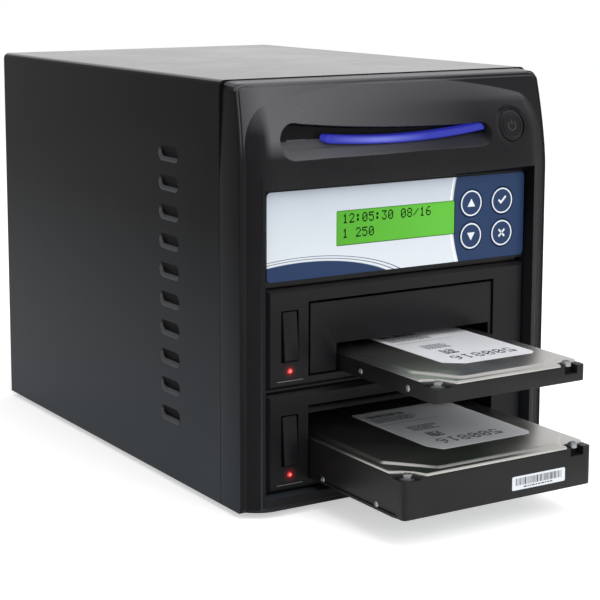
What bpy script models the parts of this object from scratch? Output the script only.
"""A hard drive duplicator: a small tower with two drive bays, a character display and a lit front."""

import math

import bmesh
import bpy
from mathutils import Matrix, Vector

# Places are given from the middle of the case (X), the face of the bays (Y, backwards) and the
# floor pan (Z, upwards). at() carries them to the world, where the part stands on its feet.

# Case
CASE_WIDTH = 0.1690
CASE_HEIGHT = 0.1890
COVER_DEPTH = 0.2370
SEAM = 0.0174
SHEET = 0.0012
GAP = 0.0003
OVERRUN = 0.0100
MERGE = 0.00001
COVER_CORNER = 0.0030
COVER_LIP = 0.0090
TRAY_FLANGE = 0.0120
CORNER_STEPS = 4

# Louvres pressed into the cover
LOUVRE_COUNT = 10
LOUVRE_LENGTH = 0.0195
LOUVRE_HEIGHT = 0.0062
LOUVRE_LOWEST = 0.0300
LOUVRE_BACK = 0.0470
LOUVRE_DROP = 0.0366
LOUVRE_DEPTH = 0.0030
LOUVRE_WALL = 0.0009
LOUVRE_SLIT = 0.0016
LOUVRE_LEAN_DEGREES = 24
LOUVRE_STEPS = 4

# Feet
FOOT_HEIGHT = 0.0025
FOOT_RADIUS = 0.0090
FOOT_EDGE = 0.0008
FOOT_PIN_RADIUS = 0.0022
FOOT_HEAD_RADIUS = 0.0032
FOOT_HEAD_HEIGHT = 0.0010
FOOT_INSET_X = 0.0225
FOOT_INSET_Y = 0.0260

# Screws of the cover
SCREW_HEAD_RADIUS = 0.0035
SCREW_HEAD_HEIGHT = 0.0022
SCREW_HEAD_EDGE = 0.0010
SCREW_RADIUS = 0.0014
SCREW_LENGTH = 0.0045
SCREW_LOW = 0.0220
SCREW_DROP = 0.0540

# Front moulding
BEZEL_SETDOWN = 0.0005
BEZEL_WALL = 0.0025
BEZEL_FRONT_WALL = 0.0080
BEZEL_CREST = 0.0055
BEZEL_CHEEK = 0.0145
BEZEL_FALL = 0.0115
BEZEL_BROW_DROP = 0.0290
BEZEL_ARCH_SETDOWN = 0.0022
BEZEL_ARCH_DROP = 0.0121
BEZEL_LEAN = 0.0055
BEZEL_LEAN_DROP = 0.0410
BEZEL_EDGE = 0.0020
BEZEL_TOP_DROP = 0.0016
BEZEL_COLUMNS = 26
BEZEL_ROWS = 22

# Opening for the bays in the front moulding
BAY_SIDE = 0.0129
BAY_BOTTOM = 0.0060
BAY_DROP = 0.0436
BAY_LIP_BOTTOM = 0.0085
BAY_LIP_STEP = 0.0034
BAY_LIP_BACK = -0.0003
BAY_FLARE = 0.0034
BAY_FLARE_DEPTH = 0.0052

# Scoop above the display, with its light bar
SCOOP_LEFT_INSET = 0.0262
SCOOP_LEFT_DROP = 0.0264
SCOOP_LEFT_RADIUS = 0.0077
SCOOP_RIGHT_INSET = 0.0390
SCOOP_RIGHT_DROP = 0.0283
SCOOP_RIGHT_RADIUS = 0.0054
SCOOP_SAG = 0.0016
SCOOP_MOUTH = -0.0050
SCOOP_BACK = 0.0025
SCOOP_BACK_RADIUS = 0.0038
SCOOP_BACK_DROP = 0.0261
SCOOP_BACK_INSET = 0.0020
SCOOP_STEPS = 6
LIGHT_INSET = 0.0400
LIGHT_HEIGHT = 0.0049
LIGHT_DROP = 0.0274
LIGHT_RISE = 0.0018
LIGHT_FRONT = 0.0016
LIGHT_STEPS = 8
LIGHT_BOARD_HEIGHT = 0.0090
LIGHT_BOARD = 0.0016

# Power button
BUTTON_INSET = 0.0225
BUTTON_DROP = 0.0254
BUTTON_RADIUS = 0.0071
BUTTON_HOLE = 0.0075
BUTTON_FRONT = -0.0044
BUTTON_EDGE = 0.0006
BUTTON_FLANGE_RADIUS = 0.0086
BUTTON_FLANGE = 0.0012
BUTTON_STEM_RADIUS = 0.0022
BUTTON_STEM_ENTRY = 0.0003
BUTTON_POCKET_RADIUS = 0.0090
BUTTON_SWITCH_SIZE = 0.0140
BUTTON_SWITCH_DEPTH = 0.0045
BUTTON_SWITCH_BORE = 0.0034
SPRING_RADIUS = 0.0046
SPRING_WIRE_RADIUS = 0.0004
SPRING_TURNS = 5
SPRING_POINTS = 9

# Display unit
FASCIA_HEIGHT = 0.0448
FASCIA_FRONT = 0.0008
FASCIA_DEPTH = 0.0113
FASCIA_WALL = 0.0030
FASCIA_SIDE_WALL = 0.0020
OVERLAY_SIDE = 0.0006
OVERLAY_RISE = 0.0013
OVERLAY_DROP = 0.0041
OVERLAY_THICKNESS = 0.0005
OVERLAY_CORNER = 0.0020
DISPLAY_LEFT_INSET = 0.0366
DISPLAY_RIGHT_INSET = 0.0411
DISPLAY_RISE = 0.0143
DISPLAY_HEIGHT = 0.0158
DISPLAY_FRONT = 0.0002
DISPLAY_MARGIN = 0.0008
DISPLAY_MARGIN_HIGH = 0.0045
KEY_SPACING = 0.0181
KEY_INSET = 0.0138
KEY_RISE = 0.0127
KEY_STEP = 0.0153
KEY_RADIUS = 0.0065
KEY_HOLE = 0.0068
KEY_FRONT = -0.0002
KEY_EDGE = 0.0003
KEY_FLANGE_RADIUS = 0.0073
KEY_FLANGE = 0.0011
KEY_SWITCH = 0.0060
KEY_TRAVEL = 0.0005
PANEL_BOARD = 0.0016

# Drive racks
RACK_SPACE = 0.0022
RACK_DEPTH = 0.0140
RACK_BEVEL = 0.0022
DOOR_LEFT_SIDE = 0.0218
DOOR_RIGHT_SIDE = 0.0174
DOOR_SILL = 0.0043
DOOR_LINTEL = 0.0067
FLAP_CLEARANCE = 0.0005
FLAP_THICKNESS = 0.0016
FLAP_FRONT = 0.0008
FLAP_TOP_CLEARANCE = 0.0012
FLAP_HINGE_DROP = 0.0026
FLAP_BARREL_RADIUS = 0.0013
FLAP_PIN_RADIUS = 0.0010
FLAP_PIN_LENGTH = 0.0022
FLAP_PIN_HOLE = 0.0013
NOTCH_CLEARANCE = 0.0018
NOTCH_HEADROOM = 0.0032
LEVER_SLOT_SIDE = 0.0077
LEVER_SLOT_WIDTH = 0.0090
LEVER_SLOT_BOTTOM = 0.0113
LEVER_SLOT_DROP = 0.0092
LEVER_SLOT_DEPTH = 0.0080
LEVER_CLEARANCE = 0.0004
LEVER_PROUD = 0.0033
LEVER_FLUSH = 0.0002
LEVER_BACK = 0.0042
LEVER_TAIL = 0.0015
LEVER_TIP = 0.0010
LEVER_PIN_Y = 0.0016
LEVER_PIN_DROP = 0.0023
LEVER_PIN_RADIUS = 0.0009
LEVER_PIN_LENGTH = 0.0011
LEVER_PIN_HOLE = 0.00115
LAMP_RISE = 0.0078
LAMP_RADIUS = 0.0015
LAMP_HOLE = 0.0018
LAMP_PROUD = 0.0004
LAMP_LENGTH = 0.0080
CAGE_LENGTH = 0.1450
CAGE_WALL = 0.0015
CAGE_WING_START = 0.0057
CAGE_WING_END = 0.0093
BACKPLANE = 0.0016
BACKPLANE_MARGIN = 0.0020
SOCKET_WIDTH = 0.0420
SOCKET_HEIGHT = 0.0052
SOCKET_RISE = 0.0015
SOCKET_DEPTH = 0.0150

# Drives
DRIVE_1_LEFT_SIDE = 0.0173
DRIVE_1_RIGHT_SIDE = 0.0041
DRIVE_1_LENGTH = 0.1000
DRIVE_1_HEIGHT = 0.0095
DRIVE_1_FRONT = -0.0700
DRIVE_2_LEFT_SIDE = 0.0011
DRIVE_2_RIGHT_SIDE = 0.0007
DRIVE_2_LENGTH = 0.1470
DRIVE_2_HEIGHT_SHARE = 0.58284
DRIVE_2_FRONT = -0.0715
DRIVE_CORNER = 0.0020
LID_THICKNESS = 0.0012
LID_INSET = 0.0012
PLATEAU = 0.0006
PLATEAU_MARGIN = 0.0070
PLATEAU_CORNER = 0.0120
DRIVE_BOARD = 0.0010
DRIVE_BOARD_RECESS = 0.0017
DRIVE_BOARD_MARGIN = 0.0070
DRIVE_BOARD_BACK = 0.0150
DRIVE_PLUG_DEPTH = 0.0065

# Inside
BAY_PLATE_SIDE = 0.0009
BAY_PLATE_REACH = 0.0257
BAY_PLATE_RISE = 0.0006
FRAME_APERTURE_SIDE = 0.0014
FRAME_APERTURE_RISE = 0.0016
SHELF_RISE = 0.0091
SHELF_FRONT = 0.0220
SHELF_MARGIN = 0.0050
STANDOFF_RADIUS = 0.0025
STANDOFF_HEIGHT = 0.0045
MAIN_BOARD_SIDE = 0.0075
MAIN_BOARD_DEPTH = 0.1200
MAIN_BOARD = 0.0016
MAIN_BOARD_INSET = 0.0060
CHIP_SIZE = 0.0240
CHIP_HEIGHT = 0.0030
HEADER_WIDTH = 0.0160
HEADER_DEPTH = 0.0080
HEADER_HEIGHT = 0.0090
DATA_CABLE_X = 0.0300
DATA_CABLE_RADIUS = 0.0025
DATA_CABLE_REACH = 0.0160
SUPPLY_CABLE_X = -0.0350
SUPPLY_CABLE_RADIUS = 0.0030
SUPPLY_CABLE_REACH = 0.0200
CABLE_POINTS = 16

# Power supply
SUPPLY_SIDE = 0.0030
SUPPLY_WIDTH = 0.0815
SUPPLY_DEPTH = 0.1500
SUPPLY_HEIGHT = 0.0400
SUPPLY_FRAME = 0.0040
INLET_INSET = 0.0230
INLET_WIDTH = 0.0260
INLET_HEIGHT = 0.0180
INLET_DEPTH = 0.0155
INLET_FLANGE = 0.0022
INLET_FLANGE_MARGIN = 0.0030
INLET_WALL = 0.0017
INLET_FLOOR = 0.0020
BLADE_WIDTH = 0.0016
BLADE_HEIGHT = 0.0040
BLADE_LENGTH = 0.0105
BLADE_PITCH = 0.0070
BLADE_RISE = 0.0040
ROCKER_INSET = 0.0500
ROCKER_WIDTH = 0.0128
ROCKER_HALF_HEIGHT = 0.0090
ROCKER_PIVOT_DEPTH = 0.0020
ROCKER_BACK = 0.0040
ROCKER_PROUD = 0.0030
ROCKER_DISH = 0.0014
ROCKER_PIN_RADIUS = 0.0012
ROCKER_PIN_LENGTH = 0.0010
ROCKER_PIN_HOLE = 0.0015
ROCKER_REST_DEGREES = 9
ROCKER_POCKET_DEPTH = 0.0120
ROCKER_POCKET_MARGIN = 0.0009

# Exhaust fan
FAN_HEIGHT_SHARE = 0.338624
FAN_SIZE = 0.0800
FAN_DEPTH = 0.0250
FAN_WALL = 0.0018
FAN_HUB_RADIUS = 0.0140
FAN_PLATE = 0.0025
FAN_STRUT = 0.0040
FAN_SHAFT_RADIUS = 0.0020
FAN_BLADE_COUNT = 7
FAN_TIP_GAP = 0.0015
FAN_BLADE_CHORD = 0.0190
FAN_BLADE_THICKNESS = 0.0014
FAN_BLADE_DEGREES = 42
FAN_ROTOR_MARGIN = 0.0012
GUARD_WIRE_RADIUS = 0.0009
GUARD_LIFT_SHARE = 1.25
GUARD_RINGS = 4
GUARD_RING_MARGIN = 0.0042
GUARD_SCREW_MARGIN = 0.0085
GUARD_EYE_RADIUS = 0.0036
VENT_COUNT = 7
VENT_MARGIN = 0.01575
VENT_HEIGHT_SHARE = 0.566667
VENT_DROP = 0.0380
VENT_SPACE = 0.0128

# Worked out from the sizes above: the case
HALF = CASE_WIDTH / 2
REAR = SEAM + COVER_DEPTH
PANEL_BACK = REAR - SHEET - GAP
PANEL_FRONT = PANEL_BACK - SHEET
INNER_HALF = HALF - SHEET - GAP
FRAME_BACK = SEAM + SHEET
FLOOR = SHEET + GAP
LOUVRE_TOP = CASE_HEIGHT - LOUVRE_DROP
LOUVRE_PITCH = (LOUVRE_TOP - LOUVRE_LOWEST) / (LOUVRE_COUNT - 1)
SCREW_HIGH = CASE_HEIGHT - SCREW_DROP

# Worked out: the front moulding, its scoop and its button
BEZEL_HEIGHT = CASE_HEIGHT - BEZEL_SETDOWN
BEZEL_BACK = SEAM - GAP
BEZEL_BROW = CASE_HEIGHT - BEZEL_BROW_DROP
BEZEL_ARCH_TOP = CASE_HEIGHT - BEZEL_ARCH_SETDOWN
BEZEL_LEAN_START = CASE_HEIGHT - BEZEL_LEAN_DROP
BAY_HALF_WIDTH = HALF - BAY_SIDE
BAY_TOP = CASE_HEIGHT - BAY_DROP
BAY_LIP_TOP = BAY_TOP - BAY_LIP_STEP
SCOOP_LEFT = SCOOP_LEFT_INSET - HALF
SCOOP_LEFT_Z = CASE_HEIGHT - SCOOP_LEFT_DROP
SCOOP_RIGHT = HALF - SCOOP_RIGHT_INSET
SCOOP_RIGHT_Z = CASE_HEIGHT - SCOOP_RIGHT_DROP
SCOOP_BACK_Z = CASE_HEIGHT - SCOOP_BACK_DROP
LIGHT_HALF_LENGTH = HALF - LIGHT_INSET
LIGHT_Z = CASE_HEIGHT - LIGHT_DROP
BUTTON_X = HALF - BUTTON_INSET
BUTTON_Z = CASE_HEIGHT - BUTTON_DROP

# Worked out: the display unit hangs from the top of the bay opening
FASCIA_TOP = BAY_TOP - GAP
FASCIA_BOTTOM = FASCIA_TOP - FASCIA_HEIGHT
OVERLAY_HALF_WIDTH = BAY_HALF_WIDTH - OVERLAY_SIDE
OVERLAY_BOTTOM = FASCIA_BOTTOM + OVERLAY_RISE
OVERLAY_TOP = FASCIA_TOP - OVERLAY_DROP
DISPLAY_LEFT = DISPLAY_LEFT_INSET - BAY_HALF_WIDTH
DISPLAY_RIGHT = BAY_HALF_WIDTH - DISPLAY_RIGHT_INSET
DISPLAY_BOTTOM = FASCIA_BOTTOM + DISPLAY_RISE
DISPLAY_TOP = DISPLAY_BOTTOM + DISPLAY_HEIGHT
KEY_RIGHT = BAY_HALF_WIDTH - KEY_INSET
KEY_LEFT = KEY_RIGHT - KEY_SPACING
KEY_LOW = FASCIA_BOTTOM + KEY_RISE
KEY_HIGH = KEY_LOW + KEY_STEP

# Worked out: two racks share the height that is left, and the drives fit their doorways
RACK_HALF_WIDTH = BAY_HALF_WIDTH - GAP
RACK_PITCH = (FASCIA_BOTTOM - BAY_BOTTOM - GAP) / 2
RACK_HEIGHT = RACK_PITCH - RACK_SPACE
RACK_BOTTOM = BAY_BOTTOM + GAP + RACK_PITCH
DOOR_LEFT = DOOR_LEFT_SIDE - RACK_HALF_WIDTH
DOOR_RIGHT = RACK_HALF_WIDTH - DOOR_RIGHT_SIDE
DOOR_MIDDLE = (DOOR_LEFT + DOOR_RIGHT) / 2
DOOR_HEIGHT = RACK_HEIGHT - DOOR_SILL - DOOR_LINTEL
LEVER_SLOT_LEFT = LEVER_SLOT_SIDE - RACK_HALF_WIDTH
LEVER_SLOT_RIGHT = LEVER_SLOT_LEFT + LEVER_SLOT_WIDTH
LEVER_SLOT_TOP = RACK_HEIGHT - LEVER_SLOT_DROP
LAMP_X = (LEVER_SLOT_LEFT + LEVER_SLOT_RIGHT) / 2
CAGE_FRONT = RACK_DEPTH + GAP
CAGE_BACK = CAGE_FRONT + CAGE_LENGTH
CAGE_WING_FRONT = CAGE_FRONT + CAGE_WING_START
CAGE_WING_BACK = CAGE_BACK - CAGE_WING_END
DRIVE_1_LEFT = DOOR_LEFT + DRIVE_1_LEFT_SIDE
DRIVE_1_WIDTH = DOOR_RIGHT - DRIVE_1_RIGHT_SIDE - DRIVE_1_LEFT
DRIVE_2_LEFT = DOOR_LEFT + DRIVE_2_LEFT_SIDE
DRIVE_2_WIDTH = DOOR_RIGHT - DRIVE_2_RIGHT_SIDE - DRIVE_2_LEFT
DRIVE_2_HEIGHT = DOOR_HEIGHT * DRIVE_2_HEIGHT_SHARE

# Worked out: what stands inside and at the rear
BAY_PLATE = BAY_HALF_WIDTH + BAY_PLATE_SIDE
BAY_PLATE_BACK = CAGE_BACK + BAY_PLATE_REACH
BAY_PLATE_TOP = BAY_TOP + BAY_PLATE_RISE
FRAME_APERTURE_HALF_WIDTH = BAY_HALF_WIDTH + FRAME_APERTURE_SIDE
FRAME_APERTURE_TOP = BAY_TOP + FRAME_APERTURE_RISE
SHELF_Z = RACK_BOTTOM + DOOR_SILL + DOOR_HEIGHT + CAGE_WALL + SHELF_RISE
SHELF_BACK = SHELF_FRONT + MAIN_BOARD_INSET / 2 + MAIN_BOARD_DEPTH + SHELF_MARGIN
MAIN_BOARD_WIDTH = 2 * (BAY_PLATE - MAIN_BOARD_SIDE)
SUPPLY_LEFT = SUPPLY_SIDE - INNER_HALF
SUPPLY_BOTTOM = BAY_PLATE_TOP + GAP
SUPPLY_BACK = PANEL_FRONT - GAP
INLET_X = SUPPLY_LEFT + INLET_INSET
ROCKER_X = SUPPLY_LEFT + ROCKER_INSET
FAN_Z = CASE_HEIGHT * FAN_HEIGHT_SHARE
FAN_BORE = FAN_SIZE / 2 - FAN_WALL
FAN_BLADE_REACH = FAN_BORE - FAN_TIP_GAP
FAN_BACK = PANEL_FRONT - GAP
GUARD_RING_PITCH = (FAN_BORE - GUARD_RING_MARGIN) / GUARD_RINGS
GUARD_SCREW_PITCH = FAN_SIZE - GUARD_SCREW_MARGIN
VENT_LENGTH = INNER_HALF - SUPPLY_LEFT - SUPPLY_WIDTH - 2 * VENT_MARGIN
VENT_BOTTOM = FAN_Z + FAN_BORE + VENT_SPACE
VENT_PITCH = (CASE_HEIGHT - VENT_DROP - VENT_BOTTOM) / (VENT_COUNT - 1)
VENT_HEIGHT = VENT_PITCH * VENT_HEIGHT_SHARE

# Worked out: where the part lies between its foremost and hindmost pieces
FRONT_REACH = -min(DRIVE_1_FRONT, DRIVE_2_FRONT)
REAR_REACH = REAR + GAP + SCREW_HEAD_HEIGHT
FACE_Y = (FRONT_REACH - REAR_REACH) / 2

TURNS = {
    "x": Matrix(((0, 0, 1), (1, 0, 0), (0, 1, 0))),
    "y": Matrix(((1, 0, 0), (0, 0, -1), (0, 1, 0))),
    "z": Matrix.Identity(3),
}
DIRECTIONS = {"x": Vector((1, 0, 0)), "y": Vector((0, 1, 0)), "z": Vector((0, 0, 1))}
RIGHT, BACK, UP = DIRECTIONS["x"], DIRECTIONS["y"], DIRECTIONS["z"]

for old in list(bpy.data.objects):
    bpy.data.objects.remove(old)

PARTS = bpy.data.collections.new("hard_drive_duplicator")
CUTTERS = bpy.data.collections.new("cutters")
for collection in (PARTS, CUTTERS):
    bpy.context.scene.collection.children.link(collection)


def at(x, y, z):
    """A place of the case, in the world."""
    return Vector((x, FACE_Y + y, FOOT_HEIGHT + z))


def finish(name, colour, roughness, metallic=0.0, glow=0.0):
    """A material for each kind of surface."""
    material = bpy.data.materials.new(name)
    material.use_nodes = True
    shader = material.node_tree.nodes["Principled BSDF"]
    shader.inputs["Base Color"].default_value = (*colour, 1)
    shader.inputs["Roughness"].default_value = roughness
    shader.inputs["Metallic"].default_value = metallic
    if glow:
        shader.inputs["Emission Color"].default_value = (*colour, 1)
        shader.inputs["Emission Strength"].default_value = glow
    return material


PAINTED = finish("painted_steel", (0.028, 0.029, 0.031), 0.45)
MOULDED = finish("moulded_black", (0.012, 0.012, 0.013), 0.38)
BARE_STEEL = finish("bare_steel", (0.55, 0.56, 0.57), 0.35, 1.0)
ALUMINIUM = finish("lid_aluminium", (0.62, 0.60, 0.56), 0.28, 1.0)
CASTING = finish("drive_casting", (0.018, 0.018, 0.019), 0.42)
BOARD_GREEN = finish("circuit_board", (0.015, 0.10, 0.04), 0.5)
SILVER_FILM = finish("printed_film", (0.62, 0.66, 0.70), 0.4)
KEY_BLUE = finish("key_blue", (0.035, 0.063, 0.15), 0.4)
DISPLAY_GREEN = finish("display_green", (0.15, 0.66, 0.07), 0.35, 0.0, 0.4)
LIGHT_BLUE = finish("light_blue", (0.04, 0.06, 0.9), 0.3, 0.0, 2.0)
LAMP_RED = finish("lamp_red", (0.9, 0.02, 0.02), 0.3, 0.0, 2.0)
RUBBER = finish("rubber", (0.02, 0.02, 0.02), 0.8)
CABLE_RED = finish("cable_jacket", (0.35, 0.02, 0.02), 0.5)


def add(name, mesh, colour, pivot):
    """An object whose mesh is measured from its pivot."""
    obj = bpy.data.objects.new(name, mesh)
    obj.location = at(*pivot)
    PARTS.objects.link(obj)
    if colour:
        mesh.materials.append(colour)
    return obj


def mesh_from(name, shape):
    """Writes a bmesh to a new mesh with its faces turned outwards."""
    bmesh.ops.recalc_face_normals(shape, faces=shape.faces)
    mesh = bpy.data.meshes.new(name)
    shape.to_mesh(mesh)
    shape.free()
    return mesh


def box(name, low, high, colour=None, pivot=None, flare=0.0):
    """A block between two corners. flare widens its front end on all four sides."""
    low, high = Vector(low), Vector(high)
    middle = (low + high) / 2
    pivot = middle if pivot is None else Vector(pivot)
    shape = bmesh.new()
    bmesh.ops.create_cube(shape, size=1)
    if flare:
        size = high - low
        widened = Vector((1 + 2 * flare / size.x, 1, 1 + 2 * flare / size.z))
        ends = [vert for vert in shape.verts if vert.co.y < 0]
        bmesh.ops.scale(shape, vec=widened, verts=ends)
    bmesh.ops.scale(shape, vec=high - low, verts=shape.verts)
    bmesh.ops.translate(shape, vec=middle - pivot, verts=shape.verts)
    return add(name, mesh_from(name, shape), colour, pivot)


def rod(name, start, axis, length, radius, colour=None, pivot=None, sides=16):
    """A cylinder from one end along an axis."""
    start, way = Vector(start), DIRECTIONS[axis]
    pivot = start if pivot is None else Vector(pivot)
    shape = bmesh.new()
    bmesh.ops.create_cone(
        shape, cap_ends=True, segments=sides, radius1=radius, radius2=radius, depth=length
    )
    turn = way.to_track_quat("Z", "Y").to_matrix()
    bmesh.ops.rotate(shape, cent=(0, 0, 0), matrix=turn, verts=shape.verts)
    bmesh.ops.translate(shape, vec=start + way * (length / 2) - pivot, verts=shape.verts)
    mesh = mesh_from(name, shape)
    mesh.set_sharp_from_angle(angle=math.radians(40))
    mesh.shade_smooth()
    return add(name, mesh, colour, pivot)


def solid_of(curve_object):
    """The welded mesh of a curve object, which is removed."""
    bpy.context.view_layer.update()
    graph = bpy.context.evaluated_depsgraph_get()
    mesh = bpy.data.meshes.new_from_object(curve_object.evaluated_get(graph))
    bpy.data.objects.remove(curve_object)
    shape = bmesh.new()
    shape.from_mesh(mesh)
    bmesh.ops.remove_doubles(shape, verts=shape.verts, dist=MERGE)
    bmesh.ops.recalc_face_normals(shape, faces=shape.faces)
    shape.to_mesh(mesh)
    shape.free()
    return mesh


def prism(name, outlines, axis, low, high, colour=None, pivot=(0, 0, 0)):
    """Outlines (X-Z for axis y, Y-Z for x, X-Y for z) drawn out along the axis."""
    curve = bpy.data.curves.new(name, "CURVE")
    curve.dimensions = "2D"
    curve.fill_mode = "BOTH"
    curve.extrude = (high - low) / 2
    for outline in outlines:
        spline = curve.splines.new("POLY")
        spline.points.add(len(outline) - 1)
        spline.use_cyclic_u = True
        for point, (across, along) in zip(spline.points, outline):
            point.co = (across, along, 0, 1)
    drawn = bpy.data.objects.new(name + "_outline", curve)
    PARTS.objects.link(drawn)
    mesh = solid_of(drawn)
    shift = DIRECTIONS[axis] * ((low + high) / 2) - Vector(pivot)
    mesh.transform(Matrix.Translation(shift) @ TURNS[axis].to_4x4())
    return add(name, mesh, colour, pivot)


def turned(name, profile, centre, way, colour, steps=20):
    """A profile of (radius, height) pairs, top first, spun about a line through the centre."""
    mesh = bpy.data.meshes.new(name)
    points = [(radius, 0, height) for radius, height in profile]
    mesh.from_pydata(points, [(i, i + 1) for i in range(len(points) - 1)], [])
    obj = add(name, mesh, colour, centre)
    obj.rotation_euler = Vector(way).to_track_quat("Z", "Y").to_euler()
    spin = obj.modifiers.new("spin", "SCREW")
    spin.steps = spin.render_steps = steps
    spin.use_merge_vertices = True
    spin.merge_threshold = MERGE
    spin.use_smooth_shade = True
    return obj


def tube(name, points, radius, colour, resolution=2, closed=False, pivot=(0, 0, 0)):
    """A wire along points."""
    curve = bpy.data.curves.new(name, "CURVE")
    curve.dimensions = "3D"
    curve.bevel_depth = radius
    curve.bevel_resolution = resolution
    curve.use_fill_caps = not closed
    spline = curve.splines.new("POLY")
    spline.points.add(len(points) - 1)
    spline.use_cyclic_u = closed
    for point, place in zip(spline.points, points):
        point.co = (*(Vector(place) - Vector(pivot)), 1)
    obj = bpy.data.objects.new(name, curve)
    obj.location = at(*pivot)
    PARTS.objects.link(obj)
    if colour:
        curve.materials.append(colour)
    return obj


def as_mesh(curve_object):
    """The same wire as a mesh object, which can be joined to others."""
    name, place = curve_object.name, curve_object.location.copy()
    curve_object.name = name + "_curve"
    mesh = solid_of(curve_object)
    obj = bpy.data.objects.new(name, mesh)
    obj.location = place
    PARTS.objects.link(obj)
    return obj


def combine(obj, other, operation):
    """Cuts or joins another object, which is then only a guide."""
    step = obj.modifiers.new(other.name, "BOOLEAN")
    step.operation = operation
    step.object = other
    PARTS.objects.unlink(other)
    CUTTERS.objects.link(other)
    other.hide_render = True
    other.display_type = "WIRE"


def cut(obj, *cutters):
    for cutter in cutters:
        combine(obj, cutter, "DIFFERENCE")


def join(obj, *others):
    for other in others:
        combine(obj, other, "UNION")


def soften(obj, width, segments=2):
    """Rounds the sharp edges of a piece."""
    bevel = obj.modifiers.new("soften", "BEVEL")
    bevel.width = width
    bevel.segments = segments
    bevel.limit_method = "ANGLE"
    bevel.angle_limit = math.radians(40)


def arc(across, along, radius, start_degrees, end_degrees, steps):
    """Points on an arc, both ends included."""
    angles = [start_degrees + (end_degrees - start_degrees) * i / steps for i in range(steps + 1)]
    return [
        (across + radius * math.cos(math.radians(a)), along + radius * math.sin(math.radians(a)))
        for a in angles
    ]


def rounded_rectangle(left, bottom, right, top, radius, steps=CORNER_STEPS):
    return (
        arc(right - radius, bottom + radius, radius, -90, 0, steps)
        + arc(right - radius, top - radius, radius, 0, 90, steps)
        + arc(left + radius, top - radius, radius, 90, 180, steps)
        + arc(left + radius, bottom + radius, radius, 180, 270, steps)
    )


def rectangle(left, bottom, right, top):
    return [(left, bottom), (right, bottom), (right, top), (left, top)]


def obround(across, along, length, height, steps=LOUVRE_STEPS):
    reach = (length - height) / 2
    right = arc(across + reach, along, height / 2, -90, 90, 2 * steps)
    return right + arc(across - reach, along, height / 2, 90, 270, 2 * steps)


def roof(inset, corner):
    """The case's outline from the front, up the left side, over the top and down the right."""
    side = HALF - inset
    top = CASE_HEIGHT - inset
    left = arc(corner - side, top - corner, corner, 180, 90, CORNER_STEPS)
    right = arc(side - corner, top - corner, corner, 90, 0, CORNER_STEPS)
    return [(-side, 0), *left, *right, (side, 0)]


def screw_places():
    side = HALF - COVER_LIP / 2
    return [(x, z) for z in (SCREW_LOW, SCREW_HIGH) for x in (-side, side)]


def foot_places():
    front = SEAM + FOOT_INSET_Y
    back = REAR - FOOT_INSET_Y
    side = HALF - FOOT_INSET_X
    return [(x, y) for y in (front, back) for x in (-side, side)]


def louvre_forms(grow, low, high, lean=0):
    """Obround forms for one side of the cover, leaning in from their lower edges."""
    middle = SEAM + LOUVRE_BACK
    forms = []
    for i in range(LOUVRE_COUNT):
        z = LOUVRE_TOP - i * LOUVRE_PITCH
        sill = z - LOUVRE_HEIGHT / 2
        length = LOUVRE_LENGTH + 2 * grow
        height = LOUVRE_HEIGHT + 2 * grow
        outline = obround(middle, z - sill, length, height)
        form = prism(f"louvre_form_{i}", [outline], "x", low, high)
        form.data.transform(Matrix.Rotation(lean, 4, "Y"))
        form.data.transform(Matrix.Translation((HALF, 0, sill)))
        forms.append(form)
    return forms


def gathered(name, forms):
    """One guide object that holds several separate forms, with their mirror images."""
    shape = bmesh.new()
    for form in forms:
        shape.from_mesh(form.data)
        bpy.data.objects.remove(form)
    bmesh.ops.mirror(shape, geom=shape.verts[:] + shape.edges[:] + shape.faces[:], axis="X")
    return add(name, mesh_from(name, shape), None, (0, 0, 0))


def cover():
    outline = roof(0, COVER_CORNER) + roof(SHEET, COVER_CORNER - SHEET)[::-1]
    shell = prism("cover", [outline], "y", SEAM, REAR, PAINTED)
    lip_outline = roof(SHEET / 2, COVER_CORNER) + roof(COVER_LIP, COVER_CORNER)[::-1]
    join(shell, prism("cover_lip", [lip_outline], "y", REAR - SHEET, REAR))
    lean = math.radians(LOUVRE_LEAN_DEGREES)
    inner = -SHEET - LOUVRE_DEPTH
    join(shell, gathered("louvre_bowls", louvre_forms(LOUVRE_WALL, inner, -SHEET / 2)))
    cut(shell, gathered("louvre_dishes", louvre_forms(0, -LOUVRE_WALL, OVERRUN, -lean)))
    middle = SEAM + LOUVRE_BACK
    reach = (LOUVRE_LENGTH - LOUVRE_HEIGHT) / 2
    slits = []
    for i in range(LOUVRE_COUNT):
        top = LOUVRE_TOP - i * LOUVRE_PITCH + LOUVRE_HEIGHT / 2
        low = (HALF + inner + LOUVRE_WALL, middle - reach, top - LOUVRE_SLIT)
        high = (low[0] + LOUVRE_SLIT, middle + reach, top + LOUVRE_WALL + GAP)
        slit = box(f"louvre_slit_{i}", low, high, pivot=(0, 0, 0))
        slits.append(slit)
    cut(shell, gathered("louvre_slits", slits))
    for x, z in screw_places():
        start = (x, REAR - OVERRUN, z)
        cut(shell, rod("cover_screw_hole", start, "y", 2 * OVERRUN, SCREW_RADIUS + GAP))


def base_tray():
    side = INNER_HALF
    inner = side - SHEET
    outline = [
        (-side, 0),
        (side, 0),
        (side, TRAY_FLANGE),
        (inner, TRAY_FLANGE),
        (inner, SHEET),
        (-inner, SHEET),
        (-inner, TRAY_FLANGE),
        (-side, TRAY_FLANGE),
    ]
    tray = prism("base_tray", [outline], "y", FRAME_BACK + GAP, PANEL_FRONT - GAP, BARE_STEEL)
    for x, y in foot_places():
        start = (x, y, -OVERRUN)
        cut(tray, rod("foot_hole", start, "z", 2 * OVERRUN, FOOT_PIN_RADIUS + GAP))


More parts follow.
